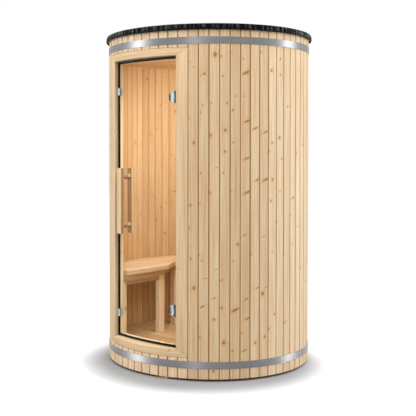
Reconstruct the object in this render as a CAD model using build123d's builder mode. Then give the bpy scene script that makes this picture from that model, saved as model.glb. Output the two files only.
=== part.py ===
"""A round upright sauna cabin: a ring of flat staves held by two steel bands, with a glass door in a
flush wooden frame, a floor on runners, a bench, a ceiling and a flat roof under a membrane.

The origin is on the ground under the middle of the barrel. The door faces -Y and +X is on its hinge side.
Angles in plan are counted from the middle of the door towards +X.
"""

import os
from math import cos, hypot, radians, sin, sqrt, tan

from build123d import *

# Stave wall
barrel_radius = 625.0
wall_thickness = 40.0
stave_count = 66
door_staves = 11
segment_staves = 5
ground_gap = 12.0
stave_length = 1968.0

# Floor, let into a groove in the staves, and the runners under it
floor_height = 112.0
floor_thickness = 28.0
groove_depth = 10.0
groove_fit = 0.3
runner_width = 80.0
runner_offset = 160.0
outer_runner_inset = 145.0
runner_fit = 2.0

# Ceiling and roof
ceiling_drop = 115.0
ceiling_thickness = 20.0
ceiling_fit = 1.0
deck_thickness = 22.0
deck_overhang = 8.0
membrane_thickness = 3.0
membrane_fit = 0.5
hem_drop = 35.5
hem_thickness = 9.0

# Steel bands
band_width = 40.0
band_thickness = 1.5
band_fit = 0.2
lower_band_height = 59.0
upper_band_drop = 49.0
band_gap = 44.0
lug_thickness = 3.0
lug_reach = 14.0
band_bolt_radius = 4.0
band_nut_radius = 7.2
band_nut_length = 6.5
band_bolt_spare = 5.0

# Door frame
frame_rise = 118.0
frame_drop = 105.0
rail_height = 44.0
opening_half_width = 250.0
stop_width = 15.0
stop_depth = 27.0

# Door glass, a gently curved sheet, and the seal behind its edge
glass_thickness = 8.0
glass_set_in = 21.0
glass_bow = 23.0
glass_gap_left = 6.0
glass_gap_right = 8.0
glass_gap_ends = 5.0
seal_thickness = 5.0
seal_gap = 1.5
seal_fit = 0.3

# Glass hinges
hinge_height = 70.0
hinge_plate_height = 62.0
hinge_plate_width = 40.0
hinge_plate_round = 20.0
hinge_plate_thickness = 6.0
hinge_pad = 0.3
hinge_upper_drop = 233.0
hinge_lower_rise = 214.5
knuckle_radius = 6.5
knuckle_length = 30.0
knuckle_gap = 0.5
knuckle_clearance = 1.0
hinge_plate_clearance = 2.5
pin_radius = 3.0
pin_fit = 0.05
leaf_thickness = 2.5
leaf_depth = 14.0
hinge_arm_thickness = 6.0

# Magnetic catches
catch_height = 44.0
catch_upper_drop = 180.0
catch_lower_rise = 142.5
magnet_thickness = 4.0
magnet_depth = 20.0
strike_width = 24.0
strike_inner_width = 12.0
strike_thickness = 4.0
strike_swing_gap = 6.0

# Door handle
handle_width = 36.0
handle_thickness = 28.0
handle_length = 390.0
handle_height = 985.0
handle_offset = 167.0
handle_stand_off = 26.0
handle_rounding = 2.5
spacer_radius = 16.0
spacer_spacing = 290.0

# Bench, whose front edge lies at a share of the inner radius from the middle
seat_height = 440.0
seat_thickness = 28.0
seat_wall_fit = 1.0
seat_front_share = 0.3658
seat_straight_length = 363.0
seat_knee_step = 76.0
seat_knee_run = 122.0
seat_tail_angle = 10.0
bearer_set_back = 25.0
bearer_width = 34.0
bearer_height = 36.0
rail_set_back = 59.0
rail_thickness = 22.0
bench_rail_height = 33.0
post_width = 34.0
post_depth = 48.0
tail_post_run = 123.0
cleat_staves = 3
cleat_first_staves = (3, 8, 13)
cleat_thickness = 28.0
cleat_height = 60.0

# Levels, angles and radii that follow
stave_angle = 360 / stave_count
door_half_angle = door_staves * stave_angle / 2
segment_count = (stave_count - door_staves) // segment_staves
inner_radius = barrel_radius - wall_thickness
clear_radius = inner_radius * cos(radians(stave_angle / 2))
outer_runner_offset = inner_radius - outer_runner_inset
stave_bottom = ground_gap
stave_top = stave_bottom + stave_length
floor_top = stave_bottom + floor_height
floor_bottom = floor_top - floor_thickness
ceiling_bottom = stave_top - ceiling_drop
deck_radius = barrel_radius + deck_overhang
deck_top = stave_top + deck_thickness
frame_bottom = stave_bottom + frame_rise
frame_top = stave_top - frame_drop
opening_bottom = frame_bottom + rail_height
opening_top = frame_top - rail_height
opening_height = opening_top - opening_bottom
stop_half_width = opening_half_width - stop_width
stop_front = glass_thickness + seal_gap + seal_thickness
far_out = 2 * barrel_radius


def on_ring(radius, angle):
    """The point in plan at this radius and angle."""
    return radius * sin(radians(angle)), -radius * cos(radians(angle))


def facets(radius, first_angle, staves):
    """The corners of a run of flat staves, at one radius."""
    return [on_ring(radius, first_angle + number * stave_angle) for number in range(staves + 1)]


def stave_run(first_angle, staves, outer=barrel_radius, inner=inner_radius):
    """The plan outline of a run of staves between two radii."""
    return facets(outer, first_angle, staves) + facets(inner, first_angle, staves)[::-1]


def ring_polygon(radius):
    """The plan outline of a disc whose corners lie on the stave joints."""
    return facets(radius, door_half_angle, stave_count - 1)


def save(piece, name):
    """Names a finished piece and writes its file."""
    piece.part.label = name
    export_step(piece.part, f"parts/{name}.step")


# The outer face of the glass is an arc from jamb to jamb, set in from the outer edge of each jamb
glass_radius = (opening_half_width**2 + glass_bow**2) / (2 * glass_bow)
jamb_edge = sqrt(barrel_radius**2 - opening_half_width**2)
glass_centre = (0, glass_radius - glass_bow - jamb_edge + glass_set_in)


def glass_face(x):
    """How far along Y the outer face of the glass lies at this x."""
    return glass_centre[1] - sqrt(glass_radius**2 - x**2)


def frame_back(x):
    """How far along Y the back of the door frame lies at this x."""
    return glass_centre[1] - sqrt((glass_radius - stop_front - stop_depth) ** 2 - x**2)


def glass_layer(front, back, left, right):
    """The plan of a layer along the glass, between two depths behind its outer face and two values of x."""
    with BuildSketch() as layer:
        with Locations(glass_centre):
            Circle(glass_radius - front)
            Circle(glass_radius - back, mode=Mode.SUBTRACT)
        with Locations(((left + right) / 2, -barrel_radius)):
            Rectangle(right - left, barrel_radius, mode=Mode.INTERSECT)
    return layer.sketch


def frame_plan(spare=0):
    """The plan of the whole door frame, with a clearance that can be added behind it and beside it."""
    with BuildSketch() as plan:
        with Locations((0, spare / sin(radians(door_half_angle)))):
            frame_sides = (on_ring(far_out, -door_half_angle), on_ring(far_out, door_half_angle))
            Polygon((0, 0), *frame_sides, align=None)
        Circle(barrel_radius, mode=Mode.INTERSECT)
        with Locations(glass_centre):
            Circle(glass_radius - stop_front - stop_depth - spare, mode=Mode.SUBTRACT)
    return plan.sketch


os.makedirs("parts", exist_ok=True)


# Stave wall, in segments round the barrel from one side of the door to the other
def groove(bottom, thickness):
    """Cuts the groove that holds the edge of the floor or ceiling into the part being made."""
    with BuildSketch(Plane.XY.offset(bottom)) as outline:
        Polygon(*ring_polygon(inner_radius + groove_depth), align=None)
    extrude(outline.sketch, amount=thickness + groove_fit, mode=Mode.SUBTRACT)


for number in range(segment_count):
    with BuildPart() as wall_segment:
        with BuildSketch(Plane.XY.offset(stave_bottom)):
            first_angle = door_half_angle + number * segment_staves * stave_angle
            Polygon(*stave_run(first_angle, segment_staves), align=None)
        extrude(amount=stave_length)
        groove(floor_bottom, floor_thickness)
        groove(ceiling_bottom, ceiling_thickness)
    save(wall_segment, f"wall_segment_{number + 1:02d}")

with BuildPart() as wall_under_door:
    with BuildSketch(Plane.XY.offset(stave_bottom)):
        Polygon(*stave_run(-door_half_angle, door_staves), align=None)
    extrude(amount=frame_bottom - stave_bottom)
    groove(floor_bottom, floor_thickness)
save(wall_under_door, "wall_under_door")

with BuildPart() as wall_over_door:
    with BuildSketch(Plane.XY.offset(frame_top)):
        Polygon(*stave_run(-door_half_angle, door_staves), align=None)
    extrude(amount=stave_top - frame_top)
save(wall_over_door, "wall_over_door")

# Floor and the runners that carry it
with BuildPart() as floor:
    with BuildSketch(Plane.XY.offset(floor_bottom)):
        Polygon(*ring_polygon(inner_radius + groove_depth - groove_fit), align=None)
    extrude(amount=floor_thickness)
save(floor, "floor")


def runner(offset, front_reach, back_reach):
    """A runner under the floor, whose thinner ends reach out under the staves by these lengths."""
    edge = abs(offset) + runner_width / 2
    half_length = sqrt(clear_radius**2 - edge**2) - runner_fit
    with BuildPart() as piece:
        with BuildSketch():
            with Locations((offset, 0)):
                Rectangle(runner_width, 2 * half_length)
        extrude(amount=floor_bottom)
        with BuildSketch():
            with Locations((offset, (back_reach - front_reach) / 2)):
                Rectangle(runner_width, 2 * half_length + front_reach + back_reach)
        extrude(amount=ground_gap)
    return piece


runner_edge = runner_offset + runner_width / 2
runner_reach = sqrt(barrel_radius**2 - runner_edge**2) - sqrt(clear_radius**2 - runner_edge**2) + runner_fit
runner_right = runner(runner_offset, runner_reach, runner_reach)
save(runner_right, "runner_right")
runner_left = runner(-runner_offset, 0, runner_reach)
save(runner_left, "runner_left")

with BuildPart() as outer_runners:
    outer_edge = outer_runner_offset + runner_width / 2
    with BuildSketch():
        with Locations((-outer_runner_offset, 0), (outer_runner_offset, 0)):
            Rectangle(runner_width, 2 * (sqrt(clear_radius**2 - outer_edge**2) - runner_fit))
    extrude(amount=floor_bottom)
save(outer_runners, "outer_runners")

# Ceiling, fitted round the back of the door frame
with BuildPart() as ceiling:
    with BuildSketch(Plane.XY.offset(ceiling_bottom)):
        Polygon(*ring_polygon(inner_radius + groove_depth - groove_fit), align=None)
        add(frame_plan(ceiling_fit), mode=Mode.SUBTRACT)
    extrude(amount=ceiling_thickness)
save(ceiling, "ceiling")

# Roof deck on the ends of the staves, and the membrane over it
with BuildPart() as roof_deck:
    with BuildSketch(Plane.XY.offset(stave_top)):
        Circle(deck_radius)
    extrude(amount=deck_thickness)
save(roof_deck, "roof_deck")

with BuildPart() as roof_membrane:
    membrane_top = deck_top + membrane_thickness
    with BuildSketch(Plane.XY.offset(membrane_top)):
        Circle(deck_radius + membrane_fit + hem_thickness)
    extrude(amount=-hem_drop)
    with BuildSketch(Plane.XY.offset(deck_top)):
        Circle(deck_radius + membrane_fit)
    extrude(amount=-hem_drop, mode=Mode.SUBTRACT)
save(roof_membrane, "roof_membrane")


# Steel bands, each closed at the back by a bolt through two turned-up lugs
def band(bottom):
    """A band with its lower edge at this level."""
    ring_radius = barrel_radius + band_fit + band_thickness
    bolt_y = ring_radius + lug_reach / 2
    half_bolt = band_gap / 2 + lug_thickness + band_nut_length + band_bolt_spare
    with BuildPart() as piece:
        with BuildSketch(Plane.XY.offset(bottom)):
            Circle(ring_radius)
            Circle(barrel_radius + band_fit, mode=Mode.SUBTRACT)
            with Locations((0, barrel_radius)):
                Rectangle(band_gap, wall_thickness, mode=Mode.SUBTRACT)
        extrude(amount=band_width)
        with BuildSketch(Plane.XY.offset(bottom)):
            lug_middle = barrel_radius + (band_fit + band_thickness + lug_reach) / 2
            with GridLocations(band_gap + lug_thickness, 1, 2, 1):
                with Locations((0, lug_middle)):
                    Rectangle(lug_thickness, lug_reach + band_thickness)
        extrude(amount=band_width)
        bolt_line = Plane.YZ.offset(-half_bolt)
        with BuildSketch(bolt_line):
            with Locations((bolt_y, bottom + band_width / 2)):
                Circle(band_bolt_radius)
        extrude(amount=2 * half_bolt)
        for side in (-1, 1):
            with BuildSketch(Plane.YZ.offset(side * (band_gap / 2 + lug_thickness))):
                with Locations((bolt_y, bottom + band_width / 2)):
                    RegularPolygon(band_nut_radius, 6)
            extrude(amount=side * band_nut_length)
    return piece


save(band(stave_bottom + lower_band_height), "band_lower")
save(band(stave_top - upper_band_drop - band_width), "band_upper")


# Door frame, flush with the staves, with mitred corners and a stop all round behind the glass
def frame_piece(*corners):
    """The part of the door frame that lies within these corners, given as (x, z)."""
    with BuildPart() as piece:
        with BuildSketch(Plane.XY.offset(frame_bottom)):
            add(frame_plan())
        extrude(amount=frame_top - frame_bottom)
        with BuildSketch(Plane.XY.offset(opening_bottom)):
            with Locations((0, -barrel_radius)):
                Rectangle(2 * opening_half_width, barrel_radius)
            with Locations(glass_centre):
                Circle(glass_radius - stop_front, mode=Mode.SUBTRACT)
        extrude(amount=opening_height, mode=Mode.SUBTRACT)
        with BuildSketch(Plane.XY.offset(opening_bottom + stop_width)):
            with Locations((0, -barrel_radius)):
                Rectangle(2 * stop_half_width, barrel_radius)
        extrude(amount=opening_height - 2 * stop_width, mode=Mode.SUBTRACT)
        with BuildSketch(Plane.XZ):
            Polygon(*corners, align=None)
        extrude(amount=far_out, mode=Mode.INTERSECT)
    return piece


frame_half_width = barrel_radius * sin(radians(door_half_angle))


def mitre(side, end):
    """The corners of a mitre from the stop out to the frame's edge. Side is -1 or 1, end -1 below and 1 above."""
    opening_end = opening_top if end > 0 else opening_bottom
    frame_end = frame_top if end > 0 else frame_bottom
    return [
        (side * stop_half_width, opening_end - end * stop_width),
        (side * opening_half_width, opening_end),
        (side * frame_half_width, frame_end),
    ]


save(frame_piece(*mitre(-1, 1), *mitre(1, 1)[::-1]), "frame_head")
save(frame_piece(*mitre(-1, -1), *mitre(1, -1)[::-1]), "frame_sill")
save(frame_piece(*mitre(-1, -1), *mitre(-1, 1)[::-1]), "frame_stile_left")
save(frame_piece(*mitre(1, -1), *mitre(1, 1)[::-1]), "frame_stile_right")

with BuildPart() as door_seal:
    seal_half_width = opening_half_width - seal_fit
    with BuildSketch(Plane.XY.offset(opening_bottom + seal_fit)):
        add(glass_layer(glass_thickness + seal_gap, stop_front, -seal_half_width, seal_half_width))
    extrude(amount=opening_height - 2 * seal_fit)
    with BuildSketch(Plane.XY.offset(opening_bottom + stop_width)):
        with Locations((0, -barrel_radius)):
            Rectangle(2 * stop_half_width, barrel_radius)
    extrude(amount=opening_height - 2 * stop_width, mode=Mode.SUBTRACT)
save(door_seal, "door_seal")

# Door glass
pin_x = opening_half_width - leaf_thickness - knuckle_gap - knuckle_radius
pin_y = glass_face(pin_x) - knuckle_radius - knuckle_clearance
glass_left = -opening_half_width + glass_gap_left
glass_right = opening_half_width - glass_gap_right

with BuildPart() as door_glass:
    with BuildSketch(Plane.XY.offset(opening_bottom + glass_gap_ends)):
        add(glass_layer(0, glass_thickness, glass_left, glass_right))
    extrude(amount=opening_height - 2 * glass_gap_ends)
save(door_glass, "door_glass")


# Hinges: a leaf on the jamb with two knuckles and the pin, and plates that clamp the glass
def hinge_leaf(middle):
    """The fixed half of a hinge, centred at this level."""
    end_knuckle = (hinge_height - knuckle_length) / 2 - knuckle_gap
    with BuildPart() as piece:
        for end in (-1, 1):
            bottom = middle + end * (hinge_height - end_knuckle) / 2 - end_knuckle / 2
            with BuildSketch(Plane.XY.offset(bottom)):
                with Locations((pin_x, pin_y)):
                    Circle(knuckle_radius)
                with Locations(((pin_x + opening_half_width) / 2, pin_y)):
                    Rectangle(opening_half_width - pin_x, hinge_arm_thickness)
            extrude(amount=end_knuckle)
        with BuildSketch(Plane.XY.offset(middle - hinge_height / 2)):
            with Locations((opening_half_width - leaf_thickness / 2, pin_y + leaf_depth / 2)):
                Rectangle(leaf_thickness, leaf_depth)
            with Locations((pin_x, pin_y)):
                Circle(pin_radius)
        extrude(amount=hinge_height)
    return piece


def hinge_clamp(middle):
    """The moving half of a hinge: a rounded plate on each face of the glass and the middle knuckle."""
    outer_right = pin_x - knuckle_radius - hinge_plate_clearance
    outer_left = outer_right - hinge_plate_width
    inner_right = stop_half_width - glass_gap_left
    with BuildPart() as piece:
        with BuildSketch(Plane.XY.offset(middle - hinge_plate_height / 2)):
            add(glass_layer(-hinge_pad - hinge_plate_thickness, -hinge_pad, outer_left, outer_right))
            plate_back = glass_thickness + hinge_pad
            add(glass_layer(plate_back, plate_back + hinge_plate_thickness, outer_left, inner_right))
        extrude(amount=hinge_plate_height)
        with BuildSketch(Plane.XZ):
            with BuildLine():
                top, bottom = middle + hinge_plate_height / 2, middle - hinge_plate_height / 2
                straight_left = outer_left + hinge_plate_round
                Line((straight_left, bottom), (outer_right, bottom))
                Line((outer_right, bottom), (outer_right, top))
                Line((outer_right, top), (straight_left, top))
                ThreePointArc((straight_left, top), (outer_left, middle), (straight_left, bottom))
            make_face()
        extrude(amount=far_out, mode=Mode.INTERSECT)
        with BuildSketch(Plane.XY.offset(middle - knuckle_length / 2)):
            with Locations((pin_x, pin_y)):
                Circle(knuckle_radius)
            arm_left = outer_right - hinge_arm_thickness
            arm_y = glass_face(arm_left) - hinge_pad - hinge_plate_thickness / 2
            with Locations(((arm_left + pin_x) / 2, arm_y)):
                Rectangle(pin_x - arm_left, hinge_plate_thickness)
        extrude(amount=knuckle_length)
        with BuildSketch(Plane.XY.offset(middle - knuckle_length / 2)):
            with Locations((pin_x, pin_y)):
                Circle(pin_radius + pin_fit)
        extrude(amount=knuckle_length, mode=Mode.SUBTRACT)
    return piece


for name, middle in (("upper", opening_top - hinge_upper_drop), ("lower", opening_bottom + hinge_lower_rise)):
    save(hinge_leaf(middle), f"hinge_leaf_{name}")
    save(hinge_clamp(middle), f"hinge_clamp_{name}")

# Magnetic catches: magnets on the face of the left stop, and strikes on the edge of the glass
catch_middles = (opening_bottom + catch_lower_rise, opening_top - catch_upper_drop)
catch_levels = [middle - catch_height / 2 for middle in catch_middles]

with BuildPart() as catch_magnets:
    magnet_front = glass_face(-stop_half_width) + stop_front
    for level in catch_levels:
        with BuildSketch(Plane.XY.offset(level)):
            with Locations((-stop_half_width + magnet_thickness / 2, magnet_front + magnet_depth / 2)):
                Rectangle(magnet_thickness, magnet_depth)
        extrude(amount=catch_height)
save(catch_magnets, "catch_magnets")

with BuildPart() as catch_strikes:
    inner_left = -stop_half_width + magnet_thickness + strike_swing_gap
    strike_back = glass_thickness + hinge_pad
    for level in catch_levels:
        with BuildSketch(Plane.XY.offset(level)):
            add(glass_layer(-hinge_pad - strike_thickness, -hinge_pad, glass_left, glass_left + strike_width))
            add(
                glass_layer(
                    strike_back, strike_back + strike_thickness, inner_left, inner_left + strike_inner_width
                )
            )
        extrude(amount=catch_height)
save(catch_strikes, "catch_strikes")

# Door handle: a square bar on each side of the glass, joined by round spacers
handle_glass = glass_face(-handle_offset)
outer_bar_y = handle_glass - handle_stand_off - handle_thickness / 2
inner_bar_y = handle_glass + glass_thickness + handle_stand_off + handle_thickness / 2
handle_middle = stave_bottom + handle_height

for name, bar_y in (("handle_outer_bar", outer_bar_y), ("handle_inner_bar", inner_bar_y)):
    with BuildPart() as handle_bar:
        with BuildSketch(Plane.XY.offset(handle_middle - handle_length / 2)):
            with Locations((-handle_offset, bar_y)):
                Rectangle(handle_width, handle_thickness)
        extrude(amount=handle_length)
        fillet(handle_bar.edges(), handle_rounding)
    save(handle_bar, name)

with BuildPart() as handle_spacers:
    with BuildSketch(Plane.XZ.offset(-inner_bar_y - handle_thickness / 2)):
        for end in (-1, 1):
            with Locations((-handle_offset, handle_middle + end * spacer_spacing / 2)):
                Circle(spacer_radius)
    extrude(amount=inner_bar_y - outer_bar_y + handle_thickness)
    with BuildSketch(Plane.XY.offset(opening_bottom)):
        add(glass_layer(0, glass_thickness, glass_left, glass_right))
        for bar_y in (outer_bar_y, inner_bar_y):
            with Locations((-handle_offset, bar_y)):
                Rectangle(handle_width, handle_thickness)
    extrude(amount=opening_height, mode=Mode.SUBTRACT)
save(handle_spacers, "handle_spacers")

# Bench along the left wall. Its front edge runs straight back from the door, steps in at a knee and runs on
# to the wall
seat_top = floor_top + seat_height
seat_bottom = seat_top - seat_thickness
bearer_bottom = seat_bottom - bearer_height
bench_door_end = frame_back(inner_radius * sin(radians(door_half_angle))) + seat_wall_fit
knee = (-seat_front_share * inner_radius, bench_door_end + seat_straight_length)
knee_end = (knee[0] - seat_knee_step, knee[1] + seat_knee_run)
tail_end = (
    knee_end[0] - inner_radius * sin(radians(seat_tail_angle)),
    knee_end[1] + inner_radius * cos(radians(seat_tail_angle)),
)
seat_front = [(knee[0], bench_door_end), knee, knee_end, tail_end]


def unit(start, end):
    """The direction from one point to another, with length one."""
    length = hypot(end[0] - start[0], end[1] - start[1])
    return (end[0] - start[0]) / length, (end[1] - start[1]) / length


def set_back(distance):
    """The corners of the seat's front edge, moved back under the seat by this distance."""
    directions = [unit(start, end) for start, end in zip(seat_front, seat_front[1:])]
    corners = []
    for number, (x, y) in enumerate(seat_front):
        before = directions[max(number - 1, 0)]
        after = directions[min(number, len(directions) - 1)]
        spread = 1 + before[0] * after[0] + before[1] * after[1]
        corners.append(
            (x - distance * (before[1] + after[1]) / spread, y + distance * (before[0] + after[0]) / spread)
        )
    return corners


def inside_wall():
    """Keeps what the sketch being made has inside the stave wall and behind the door frame."""
    Polygon(*ring_polygon(inner_radius - seat_wall_fit), align=None, mode=Mode.INTERSECT)
    with Locations((0, bench_door_end + barrel_radius)):
        Rectangle(2 * barrel_radius, 2 * barrel_radius, mode=Mode.INTERSECT)


with BuildPart() as bench_seat:
    with BuildSketch(Plane.XY.offset(seat_bottom)):
        Polygon(*seat_front, (-far_out, tail_end[1]), (-far_out, bench_door_end), align=None)
        inside_wall()
    extrude(amount=seat_thickness)
save(bench_seat, "bench_seat")

with BuildPart() as bench_bearer:
    with BuildSketch(Plane.XY.offset(bearer_bottom)):
        Polygon(*set_back(bearer_set_back), *set_back(bearer_set_back + bearer_width)[::-1], align=None)
        inside_wall()
    extrude(amount=bearer_height)
save(bench_bearer, "bench_bearer")

# The posts stand under the bearer: one at each end of the rail, and one further back under the tail
rail_front = knee[0] - rail_set_back
tail_front = set_back(rail_set_back)[2]
tail_slope = tan(radians(seat_tail_angle))
tail_post_y = knee_end[1] + tail_post_run
post_places = {
    "door": (rail_front, bench_door_end + post_depth / 2),
    "knee": (rail_front, knee[1]),
    "tail": (tail_front[0] - tail_slope * (tail_post_y - tail_front[1]), tail_post_y),
}

for name, (post_front, post_y) in post_places.items():
    with BuildPart() as bench_post:
        with BuildSketch(Plane.XY.offset(floor_top)):
            with Locations((post_front - post_width / 2, post_y)):
                Rectangle(post_width, post_depth)
            inside_wall()
        extrude(amount=bearer_bottom - floor_top)
    save(bench_post, f"bench_post_{name}")

with BuildPart() as bench_rail:
    rail_start, rail_end = bench_door_end + post_depth, knee[1] - post_depth / 2
    with BuildSketch(Plane.XY.offset(bearer_bottom - bench_rail_height)):
        with Locations((rail_front - rail_thickness / 2, (rail_start + rail_end) / 2)):
            Rectangle(rail_thickness, rail_end - rail_start)
    extrude(amount=bench_rail_height)
save(bench_rail, "bench_rail")

with BuildPart() as bench_cleats:
    with BuildSketch(Plane.XY.offset(seat_bottom - cleat_height)):
        for first in cleat_first_staves:
            first_angle = -door_half_angle - (first + cleat_staves) * stave_angle
            cleat = stave_run(first_angle, cleat_staves, inner_radius, inner_radius - cleat_thickness)
            Polygon(*cleat, align=None)
    extrude(amount=cleat_height)
    add(bench_bearer.part, mode=Mode.SUBTRACT)
save(bench_cleats, "bench_cleats")
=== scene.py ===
"""The looks of the round sauna cabin: staves, boards, the gathered roof membrane, glass and steel."""

import random
from math import atan2, cos, hypot, pi, radians, sin, tan

import bmesh
import bpy
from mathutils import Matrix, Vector


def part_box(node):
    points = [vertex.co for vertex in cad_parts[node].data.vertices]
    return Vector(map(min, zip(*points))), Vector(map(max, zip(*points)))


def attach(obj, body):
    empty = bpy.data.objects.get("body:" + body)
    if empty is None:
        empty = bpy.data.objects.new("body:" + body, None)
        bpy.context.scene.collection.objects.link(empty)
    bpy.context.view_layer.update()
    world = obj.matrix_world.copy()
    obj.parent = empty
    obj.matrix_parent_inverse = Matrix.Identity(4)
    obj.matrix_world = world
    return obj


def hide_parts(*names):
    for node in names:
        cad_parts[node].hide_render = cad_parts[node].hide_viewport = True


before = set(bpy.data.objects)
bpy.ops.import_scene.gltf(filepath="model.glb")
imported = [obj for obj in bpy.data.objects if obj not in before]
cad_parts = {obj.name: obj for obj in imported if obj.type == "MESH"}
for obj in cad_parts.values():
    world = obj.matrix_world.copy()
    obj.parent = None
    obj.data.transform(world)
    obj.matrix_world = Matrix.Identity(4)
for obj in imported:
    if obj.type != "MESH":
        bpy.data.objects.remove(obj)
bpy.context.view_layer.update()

# What each face corner of a wooden piece carries: its place in the grain, its place by the nearest knot in
# the knot's own radii, and its look. The look is (tone, depth in a joint or in painted shade, 1 on the wall's
# inner side), and a depth below 0 says how strong a painted highlight the corner has.
GRAIN = "grain"
KNOT = "knot"
LOOK = "look"
NO_KNOT = (10.0, 10.0)
# The mark of faces made where an arris was taken off
ARRIS = "arris"

# Staves
stave_count = 66
door_staves = 11
segment_staves = 5
stave_angle = 2 * pi / stave_count
half_angle = stave_angle / 2
door_half_angle = door_staves * half_angle
joint_gap = 0.00015
least_chamfer, most_chamfer = 0.0036, 0.0056
joint_seed = 40
inner_chamfer = 0.0026
# Width of the painted highlight along the left arris of each stave
arris_highlight_width = 0.0045
end_chamfer = 0.0025
groove_depth = 0.010
groove_fit = 0.0003
# The ends of the staves: their depth as if in a joint, and how their grain map is stretched
end_depth = 0.25
end_stretch = (4, 0.3)
# The least tone of a stave at random, round the wall, and over and under the door
least_tone = 0.45
least_door_tone = 0.80

# Boards and timbers
board_gap = 0.0008
board_chamfer = 0.0015
floor_board_width = 0.095
ceiling_board_width = 0.092
seat_board_width = 0.090
seat_front_share = 0.3658
least_board_tone = 0.4
piece_chamfer = 0.0015
handle_chamfer = 0.0004
frame_chamfer = 0.0022
# How wide and how deep the darker strip is where the door frame meets the staves
frame_edge = 0.0030
frame_depth = 0.006
# Edges sharper than this have their arrises taken off
sharp_angle = radians(35)
# Corners nearer to a cut than this count as on it, and corners nearer to each other than this are one
cut_distance = 1e-6
weld_distance = 1e-5
# Faces that turn by less than this are one flat face
flat_angle = radians(0.5)
# Faces nearer than this to the line of the seat's front edge are its edge
seat_edge_reach = 0.002
# The grain map of a timber: its stretch on the ends, and its shift from one side to the next
timber_end_stretch = 3
side_shift = 0.37

# Knots. Radii below 0 are spike knots, which are cut lengthwise and rise to the right.
knots_a_metre = 1.8
stave_knot_radii = (0.003, 0.004, 0.005, 0.006, 0.007, -0.010, -0.014)
knot_spread = 0.9
knot_scale = 1.5
knot_height = 1.15
spike_rise = radians(24)
spike_height = 0.26
# Each side of a timber may have one knot in each section of its length
section_length = 0.30
knot_chance = 0.4
timber_knot_radii = (0.003, 0.004, 0.005, 0.007, -0.010)
knot_shift = 0.02


def heights(node):
    """The lowest and the highest place of a CAD node."""
    low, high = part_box(node)
    return low.z, high.z


# Heights and radii read from the solids
stave_bottom, stave_top = heights("wall_segment_06")
frame_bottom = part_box("frame_sill")[0].z
frame_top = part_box("frame_head")[1].z
floor_bottom, floor_top = heights("floor")
ceiling_bottom, ceiling_top = heights("ceiling")
slots = ((floor_bottom, floor_top + groove_fit), (ceiling_bottom, ceiling_top + groove_fit))
wall_radii = [hypot(v.co.x, v.co.y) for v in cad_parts["wall_segment_06"].data.vertices]
outer_radius = max(wall_radii)
inner_radius = min(wall_radii)
seat_front = -seat_front_share * inner_radius
frame_turn = door_half_angle - frame_edge / outer_radius


def linear(red, green, blue):
    """A colour as it shows on screen, from 0 to 255, in the form that a shader takes."""
    shown = (red / 255, green / 255, blue / 255)
    return (*(c / 12.92 if c <= 0.04045 else ((c + 0.055) / 1.055) ** 2.4 for c in shown), 1)


class Shader:
    """A material being wired up. Each call adds a node and gives back its result."""

    def __init__(self, name, **settings):
        self.material = bpy.data.materials.new(name)
        self.material.use_nodes = True
        self.tree = self.material.node_tree
        self.surface = self.tree.nodes["Principled BSDF"]
        self.fill(self.surface, settings)

    def fill(self, node, inputs):
        for name, value in inputs.items():
            socket = node.inputs[name.replace("_", " ") if isinstance(name, str) else name]
            if isinstance(value, bpy.types.NodeSocket):
                self.tree.links.new(value, socket)
            else:
                socket.default_value = value

    def add(self, kind, inputs, **settings):
        node = self.tree.nodes.new("ShaderNode" + kind)
        for name, value in settings.items():
            setattr(node, name, value)
        self.fill(node, inputs)
        return node

    def math(self, operation, *values):
        return self.add("Math", dict(enumerate(values)), operation=operation).outputs[0]

    def vector(self, operation, a, b):
        return self.add("VectorMath", {0: a, 1: b}, operation=operation).outputs["Vector"]

    def noise(self, place, detail=3.0, roughness=0.5, distortion=0.0):
        inputs = {"Vector": place, "Scale": 1.0, "Detail": detail, "Roughness": roughness}
        return self.add("TexNoise", {**inputs, "Distortion": distortion}).outputs[0]

    def remap(self, value, low, high, new_low=0.0, new_high=1.0):
        inputs = {"Value": value, 1: low, 2: high, 3: new_low, 4: new_high}
        return self.add("MapRange", inputs).outputs[0]

    def ramp(self, value, *stops):
        node = self.add("ValToRGB", {0: value})
        elements = node.color_ramp.elements
        while len(elements) < len(stops):
            elements.new(1.0)
        for element, (position, colour) in zip(elements, stops):
            element.position = position
            element.color = colour
        return node.outputs[0]

    def mix(self, factor, a, b, blend="MIX"):
        node = self.add("Mix", {0: factor, 6: a, 7: b}, data_type="RGBA", blend_type=blend)
        return node.outputs[2]

    def bump(self, height, distance):
        inputs = {"Height": height, "Distance": distance, "Strength": 1.0}
        self.fill(self.surface, {"Normal": self.add("Bump", inputs).outputs[0]})


# Marks in the grain of wood, from broad to fine, by their width and length
broad_marks = (0.016, 0.75, 1.0)
streak_marks = (0.0055, 0.40, 1.0)
line_marks = (0.0016, 0.22, 1.0)
fibre_marks = (0.0006, 0.018, 1.0)
# How far a knot's outline strays, in its radii, and how far a knot pushes the grain aside
knot_stray = 0.7
grain_push = 0.006
# What all woods share
wood_roughness = 0.55
white = (255, 255, 255)
dull_tint = (212, 196, 172)
# The colour of painted highlights on arrises
highlight_tint = (252, 230, 196)
halo_tint = (212, 156, 90)
core_stops = ((0.0, (138, 86, 38)), (0.6, (172, 114, 56)), (1.0, (194, 138, 76)))


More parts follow.
